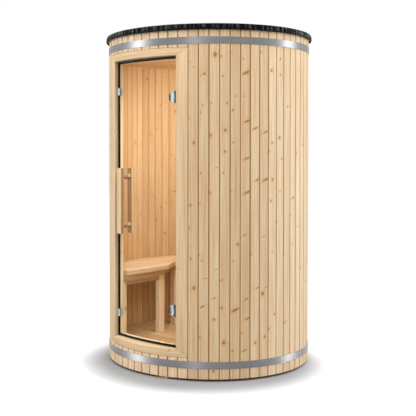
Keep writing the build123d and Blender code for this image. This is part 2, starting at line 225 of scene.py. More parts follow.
def wood(name, pale, deep, line, joint_and_shade_colour, inner=white, specular=0.15):
    """Wood whose grain follows the pieces' own map, with knots, darker in the joints and in painted shade,
    and paler in painted highlights.
    """
    s = Shader(name)
    grain = s.add("UVMap", {}, uv_map=GRAIN).outputs[0]
    knot = s.add("UVMap", {}, uv_map=KNOT).outputs[0]
    look = s.add("SeparateXYZ", {0: s.add("Attribute", {}, attribute_name=LOOK).outputs["Vector"]}).outputs
    wobble = s.noise(s.vector("MULTIPLY", knot, (1.1, 1.1, 1.0)), 2.0)
    reach = s.add("VectorMath", {0: knot}, operation="LENGTH").outputs["Value"]
    reach = s.math("ADD", reach, s.math("MULTIPLY", s.math("SUBTRACT", wobble, 0.5), knot_stray))
    near = s.remap(reach, 0.6, 3.2, 1.0, 0.0)

    aside = s.add("CombineXYZ", {0: s.math("MULTIPLY", near, grain_push)}).outputs[0]
    pushed = s.vector("ADD", grain, aside)
    broad = s.noise(s.vector("DIVIDE", pushed, broad_marks), 3.0, 0.55)
    streaks = s.noise(s.vector("DIVIDE", pushed, streak_marks), 3.0, 0.6, 0.3)
    lines = s.noise(s.vector("DIVIDE", pushed, line_marks), 2.0, 0.6)
    fibres = s.noise(s.vector("DIVIDE", grain, fibre_marks), 2.0)

    colour = s.ramp(broad, (0.30, linear(*deep)), (0.62, linear(*pale)))
    colour = s.mix(s.remap(streaks, 0.46, 0.70, 0.0, 0.65), colour, linear(*line))
    colour = s.mix(s.remap(lines, 0.50, 0.76, 0.0, 0.55), colour, linear(*line))
    colour = s.mix(s.remap(fibres, 0.40, 0.75, 0.0, 0.12), colour, linear(*line))
    tone_tint = s.ramp(look[0], (0.0, linear(*dull_tint)), (1.0, linear(*white)))
    colour = s.mix(1.0, colour, tone_tint, "MULTIPLY")
    halo = s.remap(reach, 0.9, 2.6, 0.35, 0.0)
    colour = s.mix(halo, colour, linear(*halo_tint))
    core = s.ramp(reach, *((stop, linear(*shade)) for stop, shade in core_stops))
    head = s.remap(s.add("SeparateXYZ", {0: knot}).outputs[0], -1.0, 0.6, 0.50, 0.95)
    colour = s.mix(s.math("MULTIPLY", s.remap(reach, 0.6, 1.2, 1.0, 0.0), head), colour, core)
    # A painted highlight where the look's depth is below 0
    painted_highlight = s.remap(look[1], -1.0, 0.0, 0.65, 0.0)
    colour = s.mix(painted_highlight, colour, linear(*highlight_tint))
    colour = s.mix(look[2], colour, s.mix(1.0, colour, linear(*inner), "MULTIPLY"))
    # Dark joints, and painted shade where a face's depth stands for shade
    shade = s.math("MULTIPLY", s.remap(look[1], 0.0, 1.0), s.remap(broad, 0.3, 0.7, 1.15, 0.75))
    colour = s.mix(shade, colour, linear(*joint_and_shade_colour))
    s.fill(s.surface, {"Base Color": colour, "Roughness": wood_roughness, "Specular IOR Level": specular})
    s.bump(s.math("ADD", s.math("MULTIPLY", fibres, 0.4), lines), 0.0004)
    return s.material


def metal(name, colour, roughness, stretch, depth=0.000008, anisotropy=0.0, profile=(), metallic=1.0):
    """Brushed steel, its marks drawn out along one axis. The profile lists painted reflections across it as
    (X, shade).
    """
    s = Shader(name, Metallic=metallic, Anisotropic=anisotropy, Anisotropic_Rotation=0.25)
    place = s.add("TexCoord", {}).outputs["Object"]
    marks = s.noise(s.vector("DIVIDE", place, stretch), 3.0, 0.6)
    cloud = s.noise(s.vector("DIVIDE", place, (0.15, 0.15, 0.15)), 2.0)
    shade = s.math("ADD", s.math("MULTIPLY", marks, 0.6), s.math("MULTIPLY", cloud, 0.4))
    dark_share = 0.88
    darker = tuple(c * dark_share for c in colour)
    tint = s.ramp(shade, (0.35, linear(*darker)), (0.65, linear(*colour)))
    if anisotropy:
        s.fill(s.surface, {"Tangent": s.add("Tangent", {}, direction_type="RADIAL", axis="Z").outputs[0]})
    # Painted reflections across the piece, with a wavy edge
    if profile:
        across = s.add("SeparateXYZ", {0: place}).outputs[0]
        low, high = profile[0][0], profile[-1][0]
        wave = s.noise(s.vector("DIVIDE", place, (1, 1, 0.009)), 1.0)
        waver = s.math("MULTIPLY", s.math("SUBTRACT", wave, 0.5), 0.22)
        share = s.math("ADD", s.remap(across, low, high), waver)
        stops = [((x - low) / (high - low), linear(*grey)) for x, grey in profile]
        tint = s.mix(1.0, tint, s.ramp(share, *stops), "MULTIPLY")
    rough = s.remap(marks, 0.3, 0.7, roughness - 0.04, roughness + 0.05)
    s.fill(s.surface, {"Base Color": tint, "Roughness": rough})
    s.bump(marks, depth)
    return s.material


def glass():
    """Clear glass with greener edges, which lets light through for lamps and shadows."""
    s = Shader("glass", Roughness=0.0, IOR=1.04)
    (left, _, bottom), (right, _, top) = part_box("door_glass")
    x, _, z = s.add("SeparateXYZ", {0: s.add("TexCoord", {}).outputs["Object"]}).outputs
    in_sideways = s.math("MINIMUM", s.math("SUBTRACT", x, left), s.math("SUBTRACT", right, x))
    in_upright = s.math("MINIMUM", s.math("SUBTRACT", z, bottom), s.math("SUBTRACT", top, z))
    edge_inner, edge_outer = 0.0010, 0.0004
    edge = s.remap(s.math("MINIMUM", in_sideways, in_upright), edge_outer, edge_inner, 1.0, 0.0)
    tint = s.mix(edge, linear(243, 247, 245), linear(62, 84, 78))
    s.fill(s.surface, {"Base Color": tint, "Transmission Weight": s.remap(edge, 0.0, 1.0, 1.0, 0.4)})
    s.fill(s.surface, {"Specular IOR Level": 0.15})
    clear = s.add("BsdfTransparent", {"Color": linear(246, 250, 248)}).outputs[0]
    shadow = s.add("LightPath", {}).outputs["Is Shadow Ray"]
    mixed = s.add("MixShader", {0: shadow, 1: s.surface.outputs[0], 2: clear}).outputs[0]
    s.fill(s.tree.nodes["Material Output"], {"Surface": mixed})
    return s.material


def rubber():
    """Black rubber with a faint bloom."""
    s = Shader("rubber")
    place = s.add("TexCoord", {}).outputs["Object"]
    bloom = s.noise(s.vector("DIVIDE", place, (0.02, 0.02, 0.06)), 4.0, 0.6)
    tint = s.ramp(bloom, (0.35, linear(8, 10, 12)), (0.70, linear(22, 26, 30)))
    rough = s.remap(bloom, 0.3, 0.7, 0.42, 0.6)
    s.fill(s.surface, {"Base Color": tint, "Roughness": rough, "Specular IOR Level": 0.06})
    s.bump(bloom, 0.0003)
    return s.material


def membrane_felt():
    """Dark mineral roofing: pale grit on black, with a painted highlight on the crowns of the folds.
    Its look is (depth in a fold, strength of the painted highlight, 0)."""
    s = Shader("membrane")
    place = s.add("TexCoord", {}).outputs["Object"]
    look = s.add("SeparateXYZ", {0: s.add("Attribute", {}, attribute_name=LOOK).outputs["Vector"]}).outputs
    grit = s.noise(s.vector("DIVIDE", place, (0.0016, 0.0016, 0.0016)), 3.0, 0.7)
    cloud = s.noise(s.vector("DIVIDE", place, (0.05, 0.05, 0.02)), 4.0, 0.6)
    sheen_streaks = s.noise(s.vector("DIVIDE", place, (0.009, 0.009, 0.022)), 2.0, 0.5, 1.4)
    base = s.ramp(cloud, (0.35, linear(4, 4, 5)), (0.70, linear(13, 13, 14)))
    tint = s.mix(s.remap(grit, 0.58, 0.76, 0.0, 0.25), base, linear(70, 72, 75))
    # Painted highlight on the crowns of the folds
    crown_highlight = s.math("MULTIPLY", s.remap(look[0], 0.35, 0.05), s.remap(sheen_streaks, 0.42, 0.62))
    tint = s.mix(s.math("MULTIPLY", crown_highlight, look[1]), tint, linear(150, 151, 150))
    rough = s.remap(cloud, 0.3, 0.7, 0.35, 0.5)
    s.fill(s.surface, {"Base Color": tint, "Roughness": rough, "Specular IOR Level": 0.04})
    s.bump(s.math("ADD", grit, cloud), 0.0008)
    return s.material


# Woods, by their pale, deep, line and joint colours; the joint colour also serves as painted shade
staves_wood = wood(
    "staves", (247, 227, 196), (233, 204, 163), (211, 166, 114), (172, 122, 64), inner=(236, 225, 209),
)
frame_wood = wood("frame_wood", (240, 216, 180), (226, 194, 152), (208, 165, 112), (172, 122, 64))
floor_wood = wood("floor_wood", (236, 206, 168), (220, 180, 136), (196, 148, 98), (120, 78, 46))
seat_wood = wood("seat_wood", (250, 234, 204), (244, 218, 178), (226, 188, 138), (160, 112, 70))
ceiling_wood = wood("ceiling_wood", (244, 214, 174), (230, 192, 146), (198, 148, 98), (130, 84, 50))
runner_wood = wood("runner_wood", (214, 180, 136), (196, 158, 114), (160, 116, 74), (90, 60, 36))
handle_wood = wood(
    "handle_wood", (244, 220, 182), (228, 198, 152), (200, 156, 104), (128, 82, 42), specular=0.03,
)
deck_wood = wood("deck_wood", (222, 194, 154), (204, 168, 124), (176, 132, 86), (110, 72, 44))

# Metals. The shades across a hinge's plate, by share of its width, are painted reflections of what polished
# steel mirrors.
hinge_shades = (
    (0.0, (72, 80, 86)), (0.18, (100, 107, 113)), (0.32, (235, 237, 239)), (0.54, (252, 253, 254)),
    (0.64, (112, 116, 118)), (1.0, (80, 82, 84)),
)
hinge_left, hinge_right = (corner.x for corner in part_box("hinge_clamp_upper"))
hinge_width = hinge_right - hinge_left
hinge_reflections = [(hinge_left + hinge_width * share, shade) for share, shade in hinge_shades]
hinge_marks = (0.0006, 0.004, 0.02)
hinge_dent = 0.00004
band_metal = metal("band_metal", (139, 139, 140), 0.46, (0.08, 0.08, 0.0006), anisotropy=0.8)
hinge_metal = metal("hinge_metal", (160, 162, 164), 0.42, hinge_marks, hinge_dent, profile=hinge_reflections)
# The lower hinge is a darker copy of the upper one, as painted shade
lower_metal = metal("lower_hinge_metal", (156, 159, 162), 0.48, hinge_marks, hinge_dent, profile=hinge_reflections)
catch_metal = metal("catch_metal", (182, 186, 191), 0.55, (0.004, 0.004, 0.004), 0.00008, metallic=0.2)
glass_clear = glass()
seal_black = rubber()
membrane_black = membrane_felt()

# Knots seen on the staves to the right of the door, by stave: height, place across (-1 to 1) and radius in
# mm before knot_scale
seen_knots = {
    0: [(1.81, -1, 4), (1.79, -1, 7), (1.76, 0.1, 2), (1.48, -1, 6), (1.38, -1, 4), (1.34, 0.15, 6),
        (0.99, -0.5, 5), (0.86, -0.7, 4), (0.75, -1, 5), (0.69, -0.4, 4), (0.525, 0.15, 7)],
    1: [(1.72, 0.05, 7), (1.715, -0.6, 3), (1.68, -1, 5), (1.55, -0.2, 3), (1.51, -0.6, 3),
        (1.17, -0.65, 4), (1.0, -0.95, 6), (0.71, -1, 7), (0.68, -0.4, 3), (0.58, 0.4, -7),
        (0.42, -0.3, -12), (0.31, -1, 4), (0.25, -0.7, 4)],
    2: [(1.83, 0.1, 9), (1.56, -0.6, 3), (1.38, -0.85, 8), (1.2, 0.3, -6), (1.06, -0.8, 5),
        (0.63, 0.3, -6), (0.47, 0, -8), (0.35, 0, 5), (0.27, -0.95, 4), (0.06, -0.15, 5)],
    3: [(1.82, -0.9, 6), (1.82, -0.5, 4), (1.71, -0.4, 3), (1.56, 0.4, 4), (1.41, 0.05, 6),
        (1.29, 0, 5), (1.17, -0.25, 3), (0.57, -0.7, -9), (0.415, -0.6, 5), (0.22, -0.2, 8)],
    4: [(1.84, -0.8, 3), (1.6, 0, 3), (1.52, -0.5, 4), (1.34, -0.55, -7), (1.07, -0.9, 5),
        (0.77, 0.45, 5), (0.675, -0.4, -7), (0.4, -0.1, -22), (0.17, -0.5, 4)],
    5: [(1.81, -0.5, 3), (1.73, 0, -22), (1.6, -0.3, 3), (1.46, 0.3, -16), (1.25, 0.2, -14),
        (1.06, 0.3, -18), (0.82, -0.2, -9), (0.46, 0.2, -12), (0.35, 0.45, -14), (0.27, -0.7, 4),
        (0.17, -0.2, -12)],
    6: [(1.42, 0, -14), (1.13, 0.4, -12), (0.71, -0.85, 4), (0.52, 0.6, -10), (0.21, 0.1, 5)],
    7: [(1.85, -0.8, 4), (1.4, 0.3, -14), (1.13, 0.3, -20), (0.81, -0.1, -7), (0.52, 0.5, -8),
        (0.485, -0.3, 8), (0.24, 0.2, 5)],
    8: [(1.75, -0.3, 5), (1.34, -0.1, 4), (1.29, -0.8, 4), (1.13, 0, 5), (1.01, -0.4, 4), (0.72, 0, 3),
        (0.36, 0.5, 4), (0.28, -1, 6)],
    9: [(1.82, 0, 4), (1.73, 0, 3), (1.37, -0.2, 6), (1.25, 0.4, 3), (1.06, -0.1, 3), (0.89, -1, 5)],
    10: [(1.55, 0.2, 4), (0.7, -1, 6), (0.3, -0.5, -10)],
    11: [(1.02, 0, -12), (0.92, -0.9, 4), (0.75, -0.2, -8), (0.23, -0.9, 4)],
    12: [(1.28, -0.7, 4), (0.85, 0, 3)],
    13: [(1.33, 0.5, 4), (0.6, -0.5, 4)],
}
# Tones of the same staves, from 0 for the dullest to 1 for the palest
seen_tones = (0.45, 0.50, 0.62, 0.52, 0.46, 0.48, 0.72, 0.62, 0.86, 0.84, 0.70, 0.84, 0.92, 0.80)


def layers_of(mesh):
    """The layers of a mesh being made: grain map, knot map and look."""
    loops = mesh.loops.layers
    for group, name in ((loops.uv, GRAIN), (loops.uv, KNOT), (loops.float_vector, LOOK)):
        if name not in group:
            group.new(name)
    return loops.uv[GRAIN], loops.uv[KNOT], loops.float_vector[LOOK]


def finish_piece(mesh, name, nodes, material, body="cabin"):
    """Makes the object of a finished mesh, in the place of CAD nodes."""
    data = bpy.data.meshes.new(name)
    mesh.to_mesh(data)
    mesh.free()
    data.materials.append(material)
    piece = bpy.data.objects.new(name, data)
    bpy.context.scene.collection.objects.link(piece)
    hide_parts(*nodes)
    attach(piece, body)
    return piece


def knot_place(across, along, spot):
    """Where a corner lies by the knot of its section, in the knot's own radii, or far away."""
    if spot is None:
        return NO_KNOT
    height, side, radius = spot
    x, z = across - side, along - height
    if radius > 0:
        return (x / radius, z / (radius * knot_height))
    lengthwise = x * cos(spike_rise) + z * sin(spike_rise)
    upright = z * cos(spike_rise) - x * sin(spike_rise)
    return (lengthwise / -radius, upright / (-radius * spike_height))


def sections(bottom, top, knots):
    """The levels halfway between a stave's knots, and those knots from the bottom up."""
    inside = sorted(knot for knot in knots if bottom < knot[0] < top)
    cuts = [(low[0] + high[0]) / 2 for low, high in zip(inside, inside[1:])]
    return cuts, inside


def joint_chamfer(number):
    """How wide the arris at the joint before this stave is, which differs a little from joint to joint."""
    return random.Random(number % stave_count + joint_seed).uniform(least_chamfer, most_chamfer)


def some_knots(rng, half, bottom, top):
    """A few knots at random as (height, place across, radius), on a face of this half width."""
    spots = []
    for _ in range(round(rng.random() * knots_a_metre * 2 * (top - bottom))):
        radius = rng.choice(stave_knot_radii)
        spots.append((rng.uniform(bottom, top), rng.uniform(-knot_spread, knot_spread) * half, radius))
    return spots


def stave_levels(bottom, top, cuts):
    """The levels of a stave's corners from the bottom up, as (height, 1 in a groove or else 0)."""
    grooves = [slot for slot in slots if bottom < slot[0] and slot[1] < top]
    levels = [(z, 0) for z in (bottom, bottom + end_chamfer, top - end_chamfer, top, *cuts)]
    levels = sorted(level for level in levels if not any(low < level[0] < high for low, high in grooves))
    for low, high in grooves:
        place = sum(level[0] <= low for level in levels)
        levels[place:place] = [(low, 0), (low, 1), (high, 1), (high, 0)]
    return levels


def stave_plan(at_end, groove, joints):
    """The corners of a stave's section, as (place across, distance from the cabin's middle)."""
    inner = inner_radius * cos(half_angle) + groove * groove_depth
    outer = outer_radius * cos(half_angle) - (end_chamfer if at_end else 0)
    side = tan(half_angle)
    halves = []
    for chamfer in joints:
        halves.append([
            (outer * side - chamfer, outer),
            ((outer - chamfer) * side - joint_gap, outer - chamfer),
            ((inner + inner_chamfer) * side - joint_gap, inner + inner_chamfer),
            (inner * side - inner_chamfer, inner),
        ])
    left, right = halves
    # The corner where the painted highlight along the left arris ends
    painted_highlight = (arris_highlight_width - left[0][0], outer)
    return [*right, *((-across, out) for across, out in left[::-1]), painted_highlight]


# For each corner of the plan: its depth in a joint, and its place across the grain on the joint's sides
corner_depths = (0.6, 1.0, 1.0, 0.8, 0.8, 1.0, 1.0, 0.6, 0)
corner_walk = (0.0, 0.003, 0.040, 0.043, 0.1, 0.103, 0.140, 0.143, 0.150)
# The faces between the plan's corners, by the corner that each starts from
# The face next to the left arris carries a painted highlight
right_chamfer, inner_face, left_chamfer, highlight_face, outer_face = 0, 3, 6, 7, 8
outer_side = (left_chamfer, highlight_face, outer_face, right_chamfer)
inner_side = (inner_face - 1, inner_face, inner_face + 1)
clean_faces = (inner_face, outer_face, highlight_face)


def stave(mesh, number, bottom, top, tone, seed):
    """Adds one stave, whose outer corners lie on its joints, between two levels."""
    grain, knot, look = layers_of(mesh)
    rng = random.Random(seed)
    face_half, back_half = outer_radius * sin(half_angle), inner_radius * sin(half_angle)
    listed = seen_knots.get(number, [])
    spots = [(z, side * face_half, radius / 1000 * knot_scale) for z, side, radius in listed]
    spots = spots or some_knots(rng, face_half, bottom, top)
    outer_cuts, outer_knots = sections(bottom, top, spots)
    spots = some_knots(rng, back_half, bottom, top) + some_knots(rng, back_half, bottom, top)
    inner_cuts, inner_knots = sections(bottom, top, spots)

    middle = door_half_angle + (number + 0.5) * stave_angle
    away = Vector((sin(middle), -cos(middle), 0))
    along = Vector((cos(middle), sin(middle), 0))
    joints = [joint_chamfer(number), joint_chamfer(number + 1)]
    rings = []
    for z, groove in stave_levels(bottom, top, (*outer_cuts, *inner_cuts)):
        level = Vector((0, 0, z))
        plan = stave_plan(z in (bottom, top), groove, joints)
        ring = [(across, mesh.verts.new(along * across + away * out + level)) for across, out in plan]
        rings.append((z, ring))
    offset = (rng.uniform(0, 9), rng.uniform(0, 9))

    for (z_low, low), (z_high, high) in zip(rings, rings[1:]):
        height = (z_low + z_high) / 2
        for place in range(len(corner_walk)):
            after = (place + 1) % len(corner_walk)
            corners = [(low, place, z_low), (low, after, z_low), (high, after, z_high), (high, place, z_high)]
            made = mesh.faces.new([ring[index][1] for ring, index, _ in corners])
            outside = place in outer_side
            spots = outer_knots if outside else inner_knots if place == inner_face else []
            nearest = min(spots, key=lambda spot: abs(spot[0] - height)) if spots else None
            for loop, (ring, index, z) in zip(made.loops, corners):
                across = ring[index][0]
                sideways = across if outside or place == inner_face else corner_walk[index]
                loop[grain].uv = (sideways + offset[0], z + offset[1])
                loop[knot].uv = knot_place(across, z, nearest)
                # The left arris of the outer face gets a painted highlight
                deep = -1.0 if place == highlight_face and index == highlight_face else corner_depths[index]
                deep = 0.0 if place in clean_faces and deep > 0 else deep
                loop[look] = (tone, deep, float(place in inner_side))
    for z, ring in (rings[0], rings[-1]):
        corners = [vertex for _, vertex in ring]
        made = mesh.faces.new(corners if z == top else corners[::-1])
        for loop in made.loops:
            x, y = loop.vert.co.x * end_stretch[0], loop.vert.co.y * end_stretch[1]
            loop[grain].uv = (x + offset[0], y + offset[1])
            loop[knot].uv = NO_KNOT
            loop[look] = (tone, end_depth, 0.0)


def stave_wall(name, first, count, bottom, top):
    """A run of separate staves in the place of one solid of the wall."""
    mesh = bmesh.new()
    for number in range(first, first + count):
        rng = random.Random(number * 7 + 3)
        least = least_door_tone if number < 0 else least_tone
        tone = seen_tones[number] if 0 <= number < len(seen_tones) else rng.uniform(least, 1.0)
        stave(mesh, number, bottom, top, tone, number * 13 + int(bottom * 1000))
    bmesh.ops.recalc_face_normals(mesh, faces=mesh.faces[:])
    return finish_piece(mesh, name, [name.replace("staves", "wall")], staves_wood)


for segment in range((stave_count - door_staves) // segment_staves):
    name = f"staves_segment_{segment + 1:02d}"
    stave_wall(name, segment * segment_staves, segment_staves, stave_bottom, stave_top)
stave_wall("staves_over_door", -door_staves, door_staves, frame_top, stave_top)
stave_wall("staves_under_door", -door_staves, door_staves, stave_bottom, frame_bottom)


def cad_copy(node):
    """A node's solid as a clean mesh, with its flat faces whole."""
    mesh = bmesh.new()
    mesh.from_mesh(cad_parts[node].data)
    bmesh.ops.remove_doubles(mesh, verts=mesh.verts, dist=weld_distance)
    bmesh.ops.dissolve_limit(mesh, angle_limit=flat_angle, verts=mesh.verts, edges=mesh.edges)
    return mesh


def keep_between(mesh, axis, low, high):
    """Cuts off what lies outside two planes and closes the cuts."""
    for side, place in ((-1, low), (1, high)):
        normal = Vector([side * (index == axis) for index in range(3)])
        parts = mesh.verts[:] + mesh.edges[:] + mesh.faces[:]
        point = normal * side * place
        cut = bmesh.ops.bisect_plane(
            mesh, geom=parts, dist=cut_distance, plane_co=point, plane_no=normal, clear_outer=True,
        )
        edges = [e for e in cut["geom_cut"] if isinstance(e, bmesh.types.BMEdge)]
        if edges:
            bmesh.ops.holes_fill(mesh, edges=edges, sides=0)


def soften(mesh, size):
    """Takes the arrises off, and marks the faces that this makes."""
    mark = mesh.faces.layers.int.new(ARRIS)
    sharp = [e for e in mesh.edges if len(e.link_faces) == 2 and e.calc_face_angle(0) > sharp_angle]
    made = bmesh.ops.bevel(
        mesh, geom=sharp, offset=size, segments=2, profile=0.6, affect="EDGES", clamp_overlap=True,
    )
    for face in made["faces"]:
        face[mark] = 1


def map_grain(mesh, axis, rng, tone, knots, joint_and_shade):
    """Lays the grain along one axis of the mesh, with a chance of a knot in each section of its length.
    The last argument gives a face's depth in a joint or in painted shade, below 0 a painted highlight, from
    its middle, its normal and whether it is an arris."""
    low = min(v.co[axis] for v in mesh.verts)
    high = max(v.co[axis] for v in mesh.verts)
    count = max(int((high - low) / section_length), 1)
    for number in range(1, count):
        place = low + (high - low) * number / count
        normal = Vector([float(index == axis) for index in range(3)])
        parts = mesh.verts[:] + mesh.edges[:] + mesh.faces[:]
        bmesh.ops.bisect_plane(mesh, geom=parts, dist=cut_distance, plane_co=normal * place, plane_no=normal)
    grain, knot, look = layers_of(mesh)
    mark = mesh.faces.layers.int[ARRIS]
    offset = (rng.uniform(0, 9), rng.uniform(0, 9))
    spots = {}
    for face in mesh.faces:
        normal = face.normal
        others = [index for index in range(3) if index != axis]
        flat = max(others, key=lambda index: abs(normal[index]))
        side = others[0] if flat == others[1] else others[1]
        middle = face.calc_center_median()
        section = int((middle[axis] - low) / max(high - low, 1e-6) * count)
        key = (section, flat, normal[flat] > 0)
        if key not in spots:
            along = low + (high - low) * (section + rng.uniform(0.3, 0.7)) / count
            across = middle[side] + rng.uniform(-knot_shift, knot_shift)
            spot = (along, across, rng.choice(timber_knot_radii))
            spots[key] = spot if rng.random() < knots else None
        on_end = abs(normal[axis]) > 0.8
        deep = joint_and_shade(middle, normal, face[mark]) if joint_and_shade else 0.0
        for loop in face.loops:
            across, along = loop.vert.co[side], loop.vert.co[axis]
            if on_end:
                across, along = loop.vert.co[others[0]] * timber_end_stretch, loop.vert.co[others[1]]
            loop[grain].uv = (across + offset[0] + flat * side_shift, along + offset[1])
            loop[knot].uv = NO_KNOT if on_end else knot_place(across, along, spots[key])
            loop[look] = (tone, deep, 0.0)


def board_joint(middle, normal, arris):
    """A board's sides and arrises are darker than its face."""
    return 0.5 if arris else 0.0 if abs(normal.z) > 0.8 else 0.7


def seat_joint_and_shade(middle, normal, arris):
    """The seat's boards are darker in their joints, with painted shade on the front edge and both ends,
    deepest at the end by the door, and a painted highlight on their top arrises.
    """
    front = abs(middle.x - seat_front) < seat_edge_reach or abs(normal.y) > 0.1
    # Painted shade on the end by the door, a painted highlight on top arrises, painted shade on the edges
    if normal.y < -0.5:
        return 0.6
    if front and arris and normal.z > 0:
        return -0.6
    return 0.4 if front and abs(normal.z) < 0.8 else board_joint(middle, normal, arris)


def bearer_shade(middle, normal, arris):
    """Painted shade all over a timber under the seat, which leaves it browner than the seat above it."""
    return 0.4


def frame_joint(middle, normal, arris):
    """The door frame is darker where it meets the staves."""
    turn = abs(atan2(middle.x, -middle.y))
    at_edge = turn > frame_turn or not frame_bottom + frame_edge < middle.z < frame_top - frame_edge
    return 0.75 if at_edge and hypot(middle.x, middle.y) > outer_radius - frame_depth else 0.0


def outer_bar_shade(middle, normal, arris):
    """Painted shade on the outer handle bar's sides, which are browner than its front."""
    return 0.0 if normal.y < -0.5 else 0.6


def inner_bar_shade(middle, normal, arris):
    """Painted shade on the inner handle bar, deepest where it faces the glass."""
    return 1.3 if normal.y < -0.5 else 0.3


def spacer_shade(middle, normal, arris):
    """Painted shade on the spacers, deeper below."""
    return 0.5 if normal.z > -0.2 else 0.9


def boards(node, across, along, width, material, seed, joint_and_shade=board_joint):
    """The slab of a CAD node as separate boards."""
    rng = random.Random(seed)
    whole = cad_copy(node)
    low = min(v.co[across] for v in whole.verts)
    high = max(v.co[across] for v in whole.verts)
    count = round((high - low) / width)
    step = (high - low) / count
    result = bmesh.new()
    layers_of(result)
    for number in range(count):
        board = whole.copy()
        start = low + number * step
        keep_between(board, across, start + board_gap / 2, start + step - board_gap / 2)
        soften(board, board_chamfer)
        map_grain(board, along, rng, rng.uniform(least_board_tone, 1.0), knot_chance, joint_and_shade)
        shape = bpy.data.meshes.new("board")
        board.to_mesh(shape)
        board.free()
        result.from_mesh(shape)
        bpy.data.meshes.remove(shape)
    whole.free()
    return finish_piece(result, node + "_boards", [node], material)


X, Y, Z = 0, 1, 2
boards("floor", Y, X, floor_board_width, floor_wood, 5)
boards("ceiling", Y, X, ceiling_board_width, ceiling_wood, 6)
boards("bench_seat", X, Y, seat_board_width, seat_wood, 8, seat_joint_and_shade)


def timber(
    node, axis, material, seed, tone,
    body="cabin", size=piece_chamfer, knots=knot_chance, joint_and_shade=None,
):
    """A CAD node's own shape with its arrises taken off and its grain laid along one axis."""
    mesh = cad_copy(node)
    soften(mesh, size)
    map_grain(mesh, axis, random.Random(seed), tone, knots, joint_and_shade)
    return finish_piece(mesh, node + "_timber", [node], material, body)


# Each timber has a seed of its own, counted on from one group to the next
frame_timbers = (("frame_head", X), ("frame_sill", X), ("frame_stile_left", Z), ("frame_stile_right", Z))
for seed, (node, axis) in enumerate(frame_timbers, 21):
    timber(node, axis, frame_wood, seed, 0.8, size=frame_chamfer, joint_and_shade=frame_joint)
for seed, (node, axis, slot, material, tone, shade) in enumerate((
    ("bench_bearer", Y, "bench_wood", seat_wood, 0.1, bearer_shade),
    ("bench_rail", Y, "bench_wood", seat_wood, 0.1, bearer_shade),
    ("bench_post_door", Z, "bench_wood", seat_wood, 0.6, None),
    ("bench_post_knee", Z, "bench_wood", seat_wood, 0.9, None),
    ("bench_post_tail", Z, "bench_wood", seat_wood, 0.7, None),
    ("bench_cleats", Y, "bench_wood", seat_wood, 0.5, None),
    ("runner_left", Y, "runner_wood", runner_wood, 0.6, None),
    ("runner_right", Y, "runner_wood", runner_wood, 0.7, None),
    ("outer_runners", Y, "runner_wood", runner_wood, 0.6, None),
    ("roof_deck", X, "ceiling_wood", deck_wood, 0.6, None),
), 25):
    timber(node, axis, material, seed, tone, joint_and_shade=shade)
for seed, (node, axis, shade) in enumerate((
    ("handle_outer_bar", Z, outer_bar_shade),
    ("handle_inner_bar", Z, inner_bar_shade),
    ("handle_spacers", Y, spacer_shade),
), 35):
    timber(node, axis, handle_wood, seed, 0.9, "door", handle_chamfer, 0.0, shade)


# Roof membrane: a round sheet drawn down over the rim and gathered in small folds
hem_bottom, membrane_top = heights("roof_membrane")
hem_height = membrane_top - hem_bottom
hem_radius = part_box("roof_membrane")[1].x
deck_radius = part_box("roof_deck")[1].x
deck_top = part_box("roof_deck")[1].z
# The sheet keeps below the node's top, and clear of the deck
sheet_play = 0.0012
sheet_top = membrane_top - sheet_play
sheet_clearance = 0.0008
fold_count = 150
steps_a_fold = 8
ring_steps = fold_count * steps_a_fold
fold_half_width = 0.46
# A fold draws the hem in by this much, starting with a share of it at the rim that then grows
fold_reach = 0.0085
fold_start = 0.3
fold_growth = 1.8
# A fold also draws the hem's edge up, by this share of the hem's height
fold_rise = 0.04
# On the flat of the roof: the radii of its rings, how far it sags, and where and how deep the folds run in
roof_radii = (0.12, 0.25, 0.37, 0.48, 0.56, 0.60, 0.618, 0.626)
roof_sag = 0.0008
crease_start = 0.56
crease_length = 0.07
crease_depth = 0.0016
# The hem's rings: the share of the way down, the radius in shares from the deck's edge to the hem's, and
# how strong the painted highlight on the crowns of the folds is there
hem_rings = (
    (0.0, -0.2, 0.0), (0.03, 0.25, 0.2), (0.12, 0.62, 0.8), (0.28, 0.86, 1.0),
    (0.48, 1.0, 1.0), (0.68, 0.94, 0.8), (0.85, 0.72, 0.2), (1.0, 0.5, 0.0),
)
# Where the painted highlight on the crowns is weakest, how strong it is there, and how much more on both
# sides and the right
least_highlight_turn = radians(-41)
highlight_least, highlight_sides, highlight_right = 0.22, 0.15, 0.45
fold_rng = random.Random(11)
fold_places = [number + fold_rng.uniform(-0.3, 0.3) for number in range(fold_count)]
fold_depths = [fold_rng.uniform(0.25, 1.0) for _ in range(fold_count)]
# How much of a wave shows: up on the roof, and outward and downward at the hem
wave_up, wave_out, wave_down = 0.4, 0.6, 0.4
# Long waves in the sheet, by size, number round the roof and phase, which are whole at this radius
wave_radius = 0.63
wave_rng = random.Random(12)
waves = [
    (wave_rng.uniform(0.0004, 0.0012), wave_rng.randint(2, 9), wave_rng.uniform(0, 2 * pi)) for _ in range(5)
]


def fold(turn):
    """How deep in a fold of the hem this place round the rim is, from 0 on a crown to 1 in a crease."""
    place = turn * fold_count
    deepest = 0.0
    for shift in (-1, 0, 1):
        index = (round(place) + shift) % fold_count
        away = abs((place - fold_places[index] + fold_count / 2) % fold_count - fold_count / 2)
        deepest = max(deepest, fold_depths[index] * max(0.0, 1 - away / fold_half_width))
    return deepest


def wave(angle, times):
    """How far the sheet strays at this angle, with this many times as many waves."""
    return sum(size * sin(times * count * angle + phase) for size, count, phase in waves)


def fold_highlight(angle):
    """How strong the painted highlight on the crowns of the folds is at this angle."""
    side = angle - least_highlight_turn
    return highlight_least + highlight_sides * (1 - cos(2 * side)) + highlight_right * max(0.0, sin(side)) ** 2


